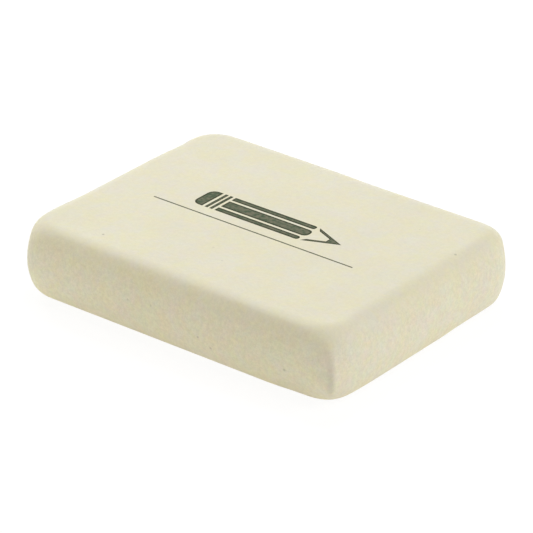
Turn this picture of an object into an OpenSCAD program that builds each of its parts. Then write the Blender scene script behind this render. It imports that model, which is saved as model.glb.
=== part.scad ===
// Block eraser: one moulded piece of soft rubber, with rounded corners and edges.
// The origin is at the middle of the underside, X runs along the length and Z is up.

/* [Block] */
// Length, over the two ends
block_length = 57; // [40:0.5:80]
// Width, over the two long sides
block_width = 43.6; // [30:0.2:60]
// Thickness, from the underside to the top face
block_thickness = 11.2; // [9:0.2:16]

/* [Rounding] */
// Radius of the four upright corners, seen from above
corner_radius = 6.2; // [5:0.1:12]
// Radius of the rounding from the sides into the top face and into the underside
edge_radius = 3.2; // [1:0.1:3.9]
// How far the sides and ends swell outward at half thickness
side_bulge = 0.4; // [0.1:0.05:0.5]

/* [Hidden] */

rubber_colour = "#e7e2cb";
$fn = 96;

// The rim's section lies flat, with a corner's axis at x = 0 and the middle plane at y = 0.
half_thickness = block_thickness / 2;
edge_centre = [corner_radius - side_bulge - edge_radius, half_thickness - edge_radius];

// The swelling is one arc, tangent to both edge roundings. Its radius is in whole microns.
exact_radius = (pow(edge_centre.y, 2) + pow(side_bulge, 2)) / (2 * side_bulge) + edge_radius;
bulge_radius = round(exact_radius * 1000) / 1000;
centre_spacing = bulge_radius - edge_radius;
bulge_centre_x = edge_centre.x - sqrt(pow(centre_spacing, 2) - pow(edge_centre.y, 2));

// Tangent arcs meet on the line through their centres. The far points lie well outside.
meeting_line = (edge_centre - [bulge_centre_x, 0]) / centre_spacing;
far = 2 * bulge_radius;
far_meeting_point = edge_centre + far * meeting_line;

// The straight stretches between the corners' axes.
straight_length = block_length - 2 * corner_radius;
straight_width = block_width - 2 * corner_radius;

// Moves along X in two steps, the microns and what is left, so that tangent arcs do touch.
module place_finely(x) {
    microns = round(x * 1000) / 1000;
    translate([microns, 0]) translate([x - microns, 0]) children();
}

// The rounding into the top face, down to the line where the swelling takes over.
module edge_rounding() {
    intersection() {
        translate(edge_centre) circle(r = edge_radius);
        polygon([
            edge_centre,
            edge_centre + [0, far],
            far_meeting_point
        ]);
    }
}

// The swelling between the two edge roundings.
module swelling() {
    intersection() {
        place_finely(bulge_centre_x) circle(r = bulge_radius);
        polygon([
            edge_centre,
            far_meeting_point,
            [edge_centre.x + far, 0],
            [far_meeting_point.x, -far_meeting_point.y],
            [edge_centre.x, -edge_centre.y]
        ]);
    }
}

// The rim's section, from a corner's axis out to the side.
module rim_section() {
    translate([0, -half_thickness]) square([edge_centre.x, block_thickness]);
    edge_rounding();
    mirror([0, 1]) edge_rounding();
    swelling();
}

// A straight stretch of rim along X, with its outer side facing -Y.
module straight_rim(stretch) {
    rotate([90, 0, -90]) linear_extrude(height = stretch, center = true) rim_section();
}

// A quarter turn of rim, from +X round to +Y.
module corner_rim() {
    rotate_extrude(angle = 90) rim_section();
}

module eraser() {
    color(rubber_colour) translate([0, 0, half_thickness]) {
        cube([straight_length, straight_width, block_thickness], center = true);
        for (turn = [0, 180]) rotate(turn) {
            translate([0, -straight_width / 2]) straight_rim(straight_length);
            translate([straight_length / 2, 0]) rotate(90) straight_rim(straight_width);
            translate([straight_length, straight_width] / 2) corner_rim();
            translate([straight_length, -straight_width] / 2) rotate(-90) corner_rim();
        }
    }
}

eraser();
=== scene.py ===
import math

import bmesh
import bpy
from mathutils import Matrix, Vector


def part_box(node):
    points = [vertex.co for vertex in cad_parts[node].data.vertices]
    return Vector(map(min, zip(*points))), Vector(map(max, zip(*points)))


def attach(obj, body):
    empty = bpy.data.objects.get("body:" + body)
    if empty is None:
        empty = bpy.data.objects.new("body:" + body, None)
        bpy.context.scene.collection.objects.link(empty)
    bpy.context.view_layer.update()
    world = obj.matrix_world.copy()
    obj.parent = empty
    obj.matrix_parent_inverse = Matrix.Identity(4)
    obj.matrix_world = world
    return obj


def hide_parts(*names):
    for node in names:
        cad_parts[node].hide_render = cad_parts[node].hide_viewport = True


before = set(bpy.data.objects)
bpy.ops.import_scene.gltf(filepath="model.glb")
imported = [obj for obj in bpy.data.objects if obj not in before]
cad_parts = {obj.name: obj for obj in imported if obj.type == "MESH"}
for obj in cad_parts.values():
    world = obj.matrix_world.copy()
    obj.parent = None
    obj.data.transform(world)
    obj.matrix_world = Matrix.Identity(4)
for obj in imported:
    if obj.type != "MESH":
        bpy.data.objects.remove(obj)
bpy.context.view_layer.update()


# ---- Rubber block ---------------------------------------------------------------------
# The eraser is one solid block of soft cream rubber, filled with chalk and pressed in a
# two-part mould. Its sides swell a little at half height, and tumbling with others of its
# kind takes off the mould's seam and leaves the corners round and the faces powdery.

mm = 0.001
low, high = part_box("eraser")
length = high.x - low.x
width = high.y - low.y
thickness = high.z - low.z
centre = (low + high) / 2
corner_radius = 6.2 * mm
edge_radius = 3.2 * mm
side_swelling = 0.4 * mm

# How finely the mesh follows the block, so that its faces are near square on the sides.
corner_steps = 12
long_side_cuts = 21
short_side_cuts = 15
swelling_steps = 5
edge_steps = 10


def pick(kind, wanted):
    """Selects the vertices, edges or faces of the open piece that pass a test, and no others."""
    bpy.ops.mesh.select_mode(type=kind)
    bpy.ops.mesh.select_all(action="DESELECT")
    mesh = bmesh.from_edit_mesh(bpy.context.object.data)
    parts = {"VERT": mesh.verts, "EDGE": mesh.edges, "FACE": mesh.faces}[kind]
    for part in parts:
        if wanted(part):
            part.select_set(True)
    bmesh.update_edit_mesh(bpy.context.object.data)


def section_of_side():
    """The side's section from half height up: how far in and how far up each next point lies.

    One shallow arc swells the side, and the edge's arc goes on from it without a corner.
    """
    edge_height = thickness / 2 - edge_radius
    swelling_radius = (edge_height**2 + side_swelling**2) / (2 * side_swelling) + edge_radius
    meet = math.atan2(edge_height, swelling_radius - side_swelling - edge_radius)
    points = []
    for step in range(swelling_steps + 1):
        turn = meet * step / swelling_steps
        points.append((swelling_radius * (1 - math.cos(turn)), swelling_radius * math.sin(turn)))
    for step in range(1, edge_steps + 1):
        turn = meet + (math.pi / 2 - meet) * step / edge_steps
        inward = side_swelling + edge_radius * (1 - math.cos(turn))
        points.append((inward, edge_height + edge_radius * math.sin(turn)))
    return points


# The outline at half height, with points along its straight runs.
bpy.ops.object.select_all(action="DESELECT")
bpy.ops.mesh.primitive_plane_add(size=1)
block = bpy.context.object
block.name = "rubber_block"
block.scale = (length, width, 1)
bpy.ops.object.transform_apply(location=False, rotation=False, scale=True)
bpy.ops.object.mode_set(mode="EDIT")
bpy.ops.mesh.select_all(action="SELECT")
bpy.ops.mesh.bevel(affect="VERTICES", offset=corner_radius, segments=corner_steps, profile=0.5)
bpy.ops.mesh.delete(type="ONLY_FACE")
pick("EDGE", lambda edge: abs(edge.verts[0].co.x - edge.verts[1].co.x) > corner_radius)
bpy.ops.mesh.subdivide(number_cuts=long_side_cuts)
pick("EDGE", lambda edge: abs(edge.verts[0].co.y - edge.verts[1].co.y) > corner_radius)
bpy.ops.mesh.subdivide(number_cuts=short_side_cuts)
bpy.ops.mesh.select_all(action="SELECT")
bpy.ops.mesh.edge_face_add()

# Half of the block is drawn out of the outline, one ring of the side's section at a time.
bpy.ops.mesh.select_mode(type="FACE")
bpy.ops.mesh.select_all(action="SELECT")
section = section_of_side()
for (inward, up), (next_inward, next_up) in zip(section, section[1:]):
    bpy.ops.mesh.inset(thickness=next_inward - inward, depth=next_up - up)
bpy.ops.mesh.delete(type="ONLY_FACE")

# The flat face is closed with a grid, counted from the middle of a corner.
half = thickness / 2
pick("EDGE", lambda edge: edge.is_boundary and abs(edge.verts[0].co.z) > 0.99 * half)
rim = bmesh.from_edit_mesh(block.data)
corner = min(
    (vertex for vertex in rim.verts if vertex.select),
    key=lambda vertex: abs(vertex.co.x - vertex.co.y - (length - width) / 2),
)
rim.select_history.add(corner)
bpy.ops.mesh.fill_grid(span=corner_steps + short_side_cuts + 1)

# The other half is its mirror image, and the whole is set down on the floor.
bpy.ops.object.mode_set(mode="OBJECT")
mirror = block.modifiers.new("other_half", "MIRROR")
mirror.use_axis = (False, False, True)
mirror.merge_threshold = 0.001 * mm
bpy.ops.object.modifier_apply(modifier=mirror.name)
bpy.ops.object.mode_set(mode="EDIT")
bpy.ops.mesh.select_all(action="SELECT")
bpy.ops.mesh.normals_make_consistent(inside=False)
bpy.ops.transform.translate(value=centre)


def press(start, end, push, reach, falloff):
    """Pushes the skin along a line between two places, and what is within its reach less and less.

    Places, push and reach are in millimetres, and places count from the middle of the block. Two
    places that are the same make a push at a single point.
    """
    start = centre + Vector(start) * mm
    along = centre + Vector(end) * mm - start

    def away(vertex):
        share = (vertex.co - start).dot(along) / max(along.length_squared, mm**2)
        return (start + along * min(max(share, 0), 1) - vertex.co).length

    row_spread = 0.3 * mm  # how unevenly far from the line a row of the mesh may lie
    nearest = min(away(vertex) for vertex in bmesh.from_edit_mesh(block.data).verts)
    pick("VERT", lambda vertex: away(vertex) < nearest + row_spread)
    bpy.ops.transform.translate(
        value=Vector(push) * mm,
        use_proportional_edit=True,
        proportional_edit_falloff=falloff,
        proportional_size=reach * mm,
    )


# Soft rubber keeps the knocks and squeezes it gets while it is warm. The near corner is left
# pinched to an upright crease: each squeeze is shorter than the last, so the crease runs out
# softly above and below.
pinch = Vector((0.29, -0.275, 0))
for step, half_height in enumerate((3.4, 2.8, 2.2, 1.4)):
    middle = Vector((26.48, -19.78, 0)) + step * pinch
    upright = Vector((0, 0, half_height))
    press(middle - upright, middle + upright, pinch, 4.3, "SHARP")

# The crease's head leans a little to the left, the front is filled out beside its lower half,
# and the top's corner stands out above it.
press((27.3, -20.6, 3.4), (27.3, -20.6, 2.2), (-0.16, -0.13, 0), 3.5, "SMOOTH")
press((26.3, -21.4, -3.0), (26.3, -21.4, -1.0), (0, -0.15, 0), 2.2, "SMOOTH")
press((25.6, -18.9, 4.3), (25.6, -18.9, 4.3), (0.12, -0.12, 0.12), 4, "SMOOTH")

# The top's front edge is a little sharper than the others, the more so towards the crease.
press((-20, -19.8, 5.17), (23, -19.8, 5.17), (0, -0.05, 0.087), 2.0, "SHARP")
press((8, -19.8, 5.17), (22, -19.8, 5.17), (0, -0.03, 0.052), 2.0, "SHARP")

# The block's foot is pushed in beside the crease, and out along the right end.
press((22.0, -21.3, -4.0), (22.0, -21.3, -4.0), (-0.1, 0.38, 0), 6, "SMOOTH")
press((28.0, -12, -3.8), (28.0, 4, -3.8), (0.18, 0, 0), 5, "SMOOTH")

# The other corners, the back and the left end stand up to 0.3 mm out or in.
press((26.5, 20.0, 0), (26.5, 20.0, -3), (-0.15, -0.15, 0), 6, "SMOOTH")
press((25.5, 19.0, 4.8), (25.5, 19.0, 4.8), (0.1, 0.1, 0.15), 3, "SMOOTH")
press((-20, 21.5, 4.0), (-4, 21.5, 4.0), (0, 0.26, 0), 8, "SMOOTH")
press((-28.1, 14, 4.0), (-28.1, 14, 4.0), (0.3, 0, 0), 6, "SMOOTH")
press((-28.1, -13, 4.0), (-28.1, -13, 4.0), (-0.2, 0, 0.1), 6, "SMOOTH")
press((-26, -20.8, -3), (-26, -20.8, -3), (-0.05, -0.1, 0), 5, "SMOOTH")
press((-27.2, -18.5, -1.5), (-27.2, -18.5, -1.5), (-0.05, -0.05, 0), 4, "SMOOTH")
bpy.ops.object.mode_set(mode="OBJECT")
bpy.ops.object.shade_smooth()


def to_linear(colour):
    """An sRGB hex colour as the linear red, green, blue and alpha that shaders take."""
    parts = [int(colour[place:place + 2], 16) / 255 for place in (1, 3, 5)]
    linear = [part / 12.92 if part <= 0.04045 else ((part + 0.055) / 1.055) ** 2.4 for part in parts]
    return linear + [1]


def add(tree, kind, inputs=None, **settings):
    """Adds a node. Each input is given a value, or the output of another node to take it from."""
    node = tree.nodes.new(kind)
    for name, value in settings.items():
        setattr(node, name, value)
    for name, value in (inputs or {}).items():
        if isinstance(value, bpy.types.NodeSocket):
            tree.links.new(value, node.inputs[name])
        else:
            node.inputs[name].default_value = value
    return node


# Dark grains of dirt in the skin: each one's place from the middle of the block and its width,
# in millimetres, and how much it darkens the rubber. They lie on the top, the front, the left
# end, the back and the underside, in this order.
dirt = [
    (-15.7, -16.4, 5.6, 0.38, 0.32),
    (-1.3, -10.0, 5.6, 0.35, 0.12),
    (2.1, -12.3, 5.6, 0.35, 0.12),
    (17.5, 12.0, 5.6, 0.30, 0.11),
    (25.7, 9.1, 5.5, 0.40, 0.27),
    (5.5, -21.8, -1.1, 0.38, 0.22),
    (7.6, -21.8, -2.2, 0.43, 0.22),
    (20.2, -21.8, -1.2, 0.43, 0.24),
    (-2.7, -21.8, 1.0, 0.35, 0.18),
    (-6.8, -21.8, 0.6, 0.35, 0.18),
    (-28.5, 6.0, 0.8, 0.40, 0.24),
    (-28.5, -11.0, -1.9, 0.35, 0.16),
    (-9.0, 21.8, 1.6, 0.38, 0.22),
    (13.5, 21.8, -1.0, 0.43, 0.24),
    (-12.0, 5.0, -5.6, 0.43, 0.24),
    (8.0, -9.0, -5.6, 0.38, 0.19),
]


def moulded_rubber():
    """Chalk-filled rubber as it leaves the tumbler: cream, matt and slightly powdery."""
    material = bpy.data.materials.new("moulded chalk-filled rubber")
    material.use_nodes = True
    tree = material.node_tree
    shader = tree.nodes["Principled BSDF"]
    coordinates = add(tree, "ShaderNodeTexCoord")
    place = coordinates.outputs["Object"]

    # The sides are rubbed by the other erasers in the tumbler, and are less even than the two
    # flat faces.
    faces = add(tree, "ShaderNodeSeparateXYZ", {"Vector": coordinates.outputs["Normal"]}).outputs["Z"]
    flatness = add(tree, "ShaderNodeMath", {0: faces}, operation="ABSOLUTE").outputs[0]
    unevenness = add(tree, "ShaderNodeMapRange", {
        "Value": flatness, "From Min": 0.2, "From Max": 0.95, "To Min": 1.0, "To Max": 0.4,
    }).outputs["Result"]

    # The mix is a little unevenly kneaded: broad pale clouds, and mottling that goes to pink
    # or green and to yellow or blue, so faintly that the eye takes it for life in the cream.
    # The pink and the green fade on the flat faces.
    clouds = add(tree, "ShaderNodeTexNoise", {"Vector": place, "Scale": 1 / (9 * mm), "Detail": 2.0})
    pinkness = add(tree, "ShaderNodeTexNoise", {
        "Vector": place, "Scale": 1 / (2.6 * mm), "Detail": 3.0, "Roughness": 0.8,
    })
    yellowness = add(tree, "ShaderNodeTexNoise", {
        "Vector": place, "Scale": 1 / (3.6 * mm), "Detail": 3.0, "Roughness": 0.8, "Distortion": 0.5,
    })
    colour = add(tree, "ShaderNodeMix", {
        "Factor": clouds.outputs["Fac"],
        "A": to_linear("#e6e2d1"),
        "B": to_linear("#ede9d8"),
    }, data_type="RGBA").outputs["Result"]
    for mottling, shown, warmer, cooler in (
        (pinkness, unevenness, "#fffafd", "#fbfffd"),
        (yellowness, 1.0, "#fffff0", "#fdfeff"),
    ):
        strong = add(tree, "ShaderNodeMapRange", {
            "Value": mottling.outputs["Fac"], "From Min": 0.35, "From Max": 0.65,
        }).outputs["Result"]
        tint = add(tree, "ShaderNodeMix", {
            "Factor": strong,
            "A": to_linear(warmer),
            "B": to_linear(cooler),
        }, data_type="RGBA").outputs["Result"]
        softened = add(tree, "ShaderNodeMix", {
            "Factor": shown,
            "A": to_linear("#fdfcfa"),
            "B": tint,
        }, data_type="RGBA").outputs["Result"]
        colour = add(tree, "ShaderNodeMix", {
            "Factor": 1.0,
            "A": colour,
            "B": softened,
        }, data_type="RGBA", blend_type="MULTIPLY").outputs["Result"]

    # Chalk powder clings to the surface in grains. Real grains are hundredths of a millimetre,
    # and are drawn ten times as coarse and more, so that they show.
    grain = add(tree, "ShaderNodeTexNoise", {
        "Vector": place, "Scale": 1 / (0.6 * mm), "Detail": 2.0, "Roughness": 1.0,
    })
    depth = add(tree, "ShaderNodeMath", {0: unevenness, 1: 0.35}, operation="MULTIPLY").outputs[0]
    centred = add(tree, "ShaderNodeMath", {
        0: grain.outputs["Fac"], 1: 0.5,
    }, operation="SUBTRACT").outputs[0]
    powder = add(tree, "ShaderNodeMath", {
        0: centred, 1: depth, 2: 1.0,
    }, operation="MULTIPLY_ADD").outputs[0]

    # Each grain of dirt darkens the rubber round its own place on the surface.
    for x, y, z, across, dark in dirt:
        _, on_surface, _, _ = block.closest_point_on_mesh(centre + Vector((x, y, z)) * mm)
        away = add(tree, "ShaderNodeVectorMath", {
            0: place, 1: on_surface,
        }, operation="DISTANCE").outputs["Value"]
        spot = add(tree, "ShaderNodeMapRange", {
            "Value": away,
            "From Min": 0.2 * across * mm,
            "From Max": 0.7 * across * mm,
            "To Min": 1 - dark,
            "To Max": 1.0,
        }, interpolation_type="SMOOTHSTEP").outputs["Result"]
        powder = add(tree, "ShaderNodeMath", {0: powder, 1: spot}, operation="MULTIPLY").outputs[0]
    dirty = add(tree, "ShaderNodeVectorMath", {0: colour, "Scale": powder}, operation="SCALE")
    tree.links.new(dirty.outputs["Vector"], shader.inputs["Base Color"])

    # The grains of powder also stand out of the skin, just enough to break its shine.
    bump = add(tree, "ShaderNodeBump", {
        "Height": grain.outputs["Fac"], "Strength": 1.0, "Distance": 0.015 * mm,
    })
    tree.links.new(bump.outputs["Normal"], shader.inputs["Normal"])
    shader.inputs["Roughness"].default_value = 0.8
    shader.inputs["IOR"].default_value = 1.52
    return material


block.data.materials.append(moulded_rubber())
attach(block, "root")
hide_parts("eraser")


# ---- Printed pencil -------------------------------------------------------------------
# A plain sign of a pencil in dark grey-green ink, stamped on the flat top face after
# tumbling. Each stroke is a film of ink about a hundredth of a millimetre thick, which the
# stamp squeezes out a little thicker and darker along its edges.

film_thickness = 0.015 * mm
sunk_in = 0.005 * mm
sign_left = -12.7 * mm
sign_tip = 11.9 * mm
sign_middle = 1.45 * mm
sign_height = 4.8 * mm
stroke_gap = 0.45 * mm
cap_length = 1.9 * mm
cap_rounding = 1.2 * mm
ring_width = 0.5 * mm
ring_gap = 0.35 * mm
facet_height = (sign_height - 2 * stroke_gap) / 4
facet_rounding = 0.42 * mm
middle_facet_overhang = 0.4 * mm
middle_facet_rounding = 0.8 * mm
cone_length = 5.35 * mm
cone_height = 4.5 * mm
cone_stroke = 0.5 * mm
lead_length = 2.3 * mm
broad_rim = 0.17 * mm
fine_rim = 0.11 * mm


def bar(left, right, middle, height, round_left=0, round_right=0):
    """A flat bar of the print, whose ends are rounded by the two radii."""
    bpy.ops.object.select_all(action="DESELECT")
    bpy.ops.mesh.primitive_plane_add(size=1, location=((left + right) / 2, middle, high.z - sunk_in))
    drawn = bpy.context.object
    drawn.scale = (right - left, height, 1)
    bpy.ops.object.transform_apply(location=True, rotation=False, scale=True)
    bpy.ops.object.mode_set(mode="EDIT")
    for end, radius in ((left, round_left), (right, round_right)):
        if radius:
            pick("VERT", lambda v: abs(v.co.x - end) < 0.01 * mm)
            bpy.ops.mesh.bevel(affect="VERTICES", offset=radius, segments=6, profile=0.5)
    bpy.ops.object.mode_set(mode="OBJECT")
    return drawn


def sharpened_end(base, tip, middle, height, stroke, lead):
    """The pencil's cone: two slanting strokes that meet in a solid point, the lead."""
    def inside_cone(place):
        return abs(place.y - middle) < 0.01 * mm and place.x < tip - lead

    drawn = bar(base, tip, middle, height)
    bpy.ops.object.mode_set(mode="EDIT")
    pick("VERT", lambda v: v.co.x > (base + tip) / 2)
    bpy.ops.mesh.merge(type="CENTER")
    pick("FACE", lambda face: True)
    bpy.ops.mesh.inset(thickness=stroke)
    bpy.ops.mesh.bisect(plane_co=(tip - lead, middle, 0), plane_no=(1, 0, 0))
    pick("FACE", lambda face: inside_cone(face.calc_center_median()))
    bpy.ops.mesh.delete(type="FACE")
    bpy.ops.object.mode_set(mode="OBJECT")
    return drawn


def squeeze_edge(stroke, rim):
    """Marks where a stroke's ink is squeezed out: along its rim, and fading over as much again."""
    bpy.ops.object.select_all(action="DESELECT")
    stroke.select_set(True)
    bpy.context.view_layer.objects.active = stroke
    bpy.ops.object.mode_set(mode="EDIT")
    pick("FACE", lambda face: True)
    bpy.ops.mesh.inset(thickness=rim)
    bpy.ops.mesh.inset(thickness=rim)
    bpy.ops.object.mode_set(mode="OBJECT")
    squeezed = stroke.data.attributes.new("squeezed", "FLOAT", "POINT")
    for vertex, mark in zip(stroke.data.vertices, squeezed.data):
        mark.value = 0 if vertex.select else 1


def film_of_ink(name, strokes):
    """Joins flat strokes into one film of ink, and gives it its thickness."""
    bpy.ops.object.select_all(action="DESELECT")
    for drawn in strokes:
        drawn.select_set(True)
    bpy.context.view_layer.objects.active = strokes[0]
    bpy.ops.object.join()
    film = bpy.context.object
    film.name = name
    solidify = film.modifiers.new("film", "SOLIDIFY")
    solidify.thickness = film_thickness
    solidify.offset = 1
    bpy.ops.object.modifier_apply(modifier=solidify.name)
    return film


# The sign from left to right: a cap, two rings, the barrel's three facets and the cone. The
# broad strokes have room for a broader rim of squeezed ink.
first_ring = sign_left + cap_length + stroke_gap
second_ring = first_ring + ring_width + ring_gap
barrel = second_ring + ring_width + stroke_gap
cone = sign_tip - cone_length
shoulder = cone - stroke_gap
outer_facet = 1.5 * facet_height + stroke_gap
broad_strokes = [
    bar(sign_left, sign_left + cap_length, sign_middle, sign_height, round_left=cap_rounding),
    bar(barrel, shoulder, sign_middle + outer_facet, facet_height, round_right=facet_rounding),
    bar(
        barrel,
        shoulder + middle_facet_overhang,
        sign_middle,
        2 * facet_height,
        round_right=middle_facet_rounding,
    ),
    bar(barrel, shoulder, sign_middle - outer_facet, facet_height, round_right=facet_rounding),
]
fine_strokes = [
    bar(first_ring, first_ring + ring_width, sign_middle, sign_height),
    bar(second_ring, second_ring + ring_width, sign_middle, sign_height),
    sharpened_end(cone, sign_tip, sign_middle, cone_height, cone_stroke, lead_length),
]
for stroke in broad_strokes:
    squeeze_edge(stroke, broad_rim)
for stroke in fine_strokes:
    squeeze_edge(stroke, fine_rim)
pencil_sign = film_of_ink("printed_pencil", broad_strokes + fine_strokes)


def stamping_ink():
    """Thin matt ink, which the powdery rubber shows through here and there."""
    material = bpy.data.materials.new("stamped grey-green ink")
    material.use_nodes = True
    tree = material.node_tree
    shader = tree.nodes["Principled BSDF"]
    place = add(tree, "ShaderNodeTexCoord").outputs["Object"]
    squeezed = add(tree, "ShaderNodeAttribute", attribute_name="squeezed").outputs["Fac"]
    patchy = add(tree, "ShaderNodeTexNoise", {"Vector": place, "Scale": 1 / (0.6 * mm), "Detail": 2.0})
    patches = add(tree, "ShaderNodeMapRange", {
        "Value": patchy.outputs["Fac"], "From Min": 0.35, "From Max": 0.65,
    }).outputs["Result"]
    thin = add(tree, "ShaderNodeMix", {
        "Factor": patches,
        "A": to_linear("#485943"),
        "B": to_linear("#74735f"),
    }, data_type="RGBA").outputs["Result"]
    colour = add(tree, "ShaderNodeMix", {
        "Factor": squeezed,
        "A": thin,
        "B": to_linear("#32371f"),
    }, data_type="RGBA")
    tree.links.new(colour.outputs["Result"], shader.inputs["Base Color"])
    shader.inputs["Roughness"].default_value = 0.85
    shader.inputs["IOR"].default_value = 1.5
    shader.inputs["Specular IOR Level"].default_value = 0.2
    return material


ink = stamping_ink()
pencil_sign.data.materials.append(ink)
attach(pencil_sign, "root")


# ---- Printed rule ---------------------------------------------------------------------
# A thin straight line under the pencil, in the same ink. The same stamp prints it, so it is
# squeezed darker along its two edges too.

rule_left = -17.9 * mm
rule_right = 17.2 * mm
rule_middle = -2.93 * mm
rule_width = 0.22 * mm
thin_rim = 0.03 * mm

line = bar(rule_left, rule_right, rule_middle, rule_width)
squeeze_edge(line, thin_rim)
rule = film_of_ink("printed_rule", [line])
rule.data.materials.append(ink)
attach(rule, "root")


# ---- Floor ----------------------------------------------------------------------------
# A large sheet of matt white card under the eraser, pale enough to vanish into the
# backdrop, with a faint shadow.

bpy.ops.object.select_all(action="DESELECT")
bpy.ops.mesh.primitive_circle_add(vertices=96, radius=4, fill_type="NGON", location=(0, 0, low.z))
floor = bpy.context.object
floor.name = "white_card"
bpy.ops.object.transform_apply(location=True, rotation=False, scale=False)


def seen_or_mirrored(tree):
    """Gives 1 to the eye and to what mirrors and glass show it, and 0 to light on its way."""
    ray = add(tree, "ShaderNodeLightPath").outputs
    mirrored = add(tree, "ShaderNodeMath", {
        0: ray["Is Glossy Ray"], 1: ray["Is Transmission Ray"],
    }, operation="MAXIMUM")
    return add(tree, "ShaderNodeMath", {
        0: ray["Is Camera Ray"], 1: mirrored.outputs[0],
    }, operation="MAXIMUM").outputs[0]


def white_card():
    """Matt white card. The eye and reflections see it near white, with a faint shadow."""
    material = bpy.data.materials.new("matt white card")
    material.use_nodes = True
    tree = material.node_tree
    tree.nodes.clear()

    # What the eraser gets from the card: the light that it bounces, and a glow, as from a
    # table that is lit by more lamps than these.
    card = add(tree, "ShaderNodeBsdfDiffuse", {"Color": to_linear("#f4f4f2")})
    beneath = add(tree, "ShaderNodeEmission", {"Color": to_linear("#fbf6ef"), "Strength": 0.229})
    lit = add(tree, "ShaderNodeAddShader", {0: card.outputs[0], 1: beneath.outputs[0]})

    # What the eye gets: mostly a plain white, and a little of the real light and shadow. The
    # white rises away from the eraser, until the card's far rim is lost in the backdrop.
    shadowed = add(tree, "ShaderNodeBsdfDiffuse", {"Color": to_linear("#666666")})
    place = add(tree, "ShaderNodeTexCoord").outputs["Object"]
    away = add(tree, "ShaderNodeVectorMath", {0: place}, operation="LENGTH").outputs["Value"]
    whiteness = add(tree, "ShaderNodeMapRange", {
        "Value": away, "From Min": 0.06, "From Max": 0.25, "To Min": 0.91, "To Max": 1.0,
    }).outputs["Result"]
    white = add(tree, "ShaderNodeEmission", {"Color": to_linear("#ffffff"), "Strength": whiteness})
    near_white = add(tree, "ShaderNodeAddShader", {0: shadowed.outputs[0], 1: white.outputs[0]})

    surface = add(tree, "ShaderNodeMixShader", {
        0: seen_or_mirrored(tree), 1: lit.outputs[0], 2: near_white.outputs[0],
    })
    add(tree, "ShaderNodeOutputMaterial", {"Surface": surface.outputs[0]})
    return material


floor.data.materials.append(white_card())


# ---- Light ----------------------------------------------------------------------------
# A dim, warm room with five round softboxes: two low ones behind the eraser, one high on its
# right, one high behind it, and a weak one close to its front. The backdrop is plain white,
# and stays so where it is mirrored.

world = bpy.data.worlds.new("studio")
bpy.context.scene.world = world
world.use_nodes = True
tree = world.node_tree
room = tree.nodes["Background"]
room.inputs["Color"].default_value = to_linear("#fff3e2")
room.inputs["Strength"].default_value = 0.21
backdrop = add(tree, "ShaderNodeBackground", {"Color": to_linear("#ffffff"), "Strength": 1.0})
around = add(tree, "ShaderNodeMixShader", {
    0: seen_or_mirrored(tree), 1: room.outputs[0], 2: backdrop.outputs[0],
})
tree.links.new(around.outputs[0], tree.nodes["World Output"].inputs["Surface"])


def towards(azimuth, elevation):
    """The direction out from the eraser at an azimuth, counted from the front, and a height."""
    return Vector((
        math.sin(azimuth) * math.cos(elevation),
        -math.cos(azimuth) * math.cos(elevation),
        math.sin(elevation),
    ))


def softbox(name, azimuth, elevation, distance, size, power, colour):
    """Adds a round softbox that faces the eraser, with its two angles in degrees."""
    azimuth = math.radians(azimuth)
    elevation = math.radians(elevation)
    bpy.ops.object.select_all(action="DESELECT")
    bpy.ops.object.light_add(type="AREA", location=centre + towards(azimuth, elevation) * distance)
    lamp = bpy.context.object
    lamp.name = name
    lamp.rotation_euler = (math.pi / 2 - elevation, 0, azimuth)
    lamp.visible_camera = False
    lamp.data.shape = "DISK"
    lamp.data.size = size
    lamp.data.energy = power
    lamp.data.color = to_linear(colour)[:3]


softbox("low_from_behind_left", 240, 25, 0.7, 0.35, 2.23, "#f2f5ff")
softbox("low_from_behind_right", 120, 25, 0.7, 0.35, 1.36, "#f9fdff")
softbox("high_at_right", 90, 65, 0.7, 0.35, 1.27, "#fff5ea")
softbox("high_from_behind", 210, 65, 0.7, 0.12, 1.11, "#e8f5ff")
softbox("close_from_front_left", 330, 25, 0.3, 0.15, 0.155, "#fffce3")


# ---- Camera ---------------------------------------------------------------------------
# Half a metre off, above the near corner, with a long lens. It aims a little below the
# eraser's middle.

view_azimuth = math.radians(38.6)
view_elevation = math.radians(27.25)
view_distance = 503 * mm
aim_below = 0.83 * mm
upwards = towards(view_azimuth, view_elevation + math.pi / 2)
aim = centre - upwards * aim_below
bpy.ops.object.select_all(action="DESELECT")
bpy.ops.object.camera_add(location=aim + towards(view_azimuth, view_elevation) * view_distance)
camera = bpy.context.object
camera.rotation_euler = (math.pi / 2 - view_elevation, 0, view_azimuth)
camera.data.lens = 244
camera.data.sensor_width = 36
camera.data.clip_start = 10 * mm
bpy.context.scene.camera = camera
bpy.context.scene.view_settings.view_transform = "Standard"
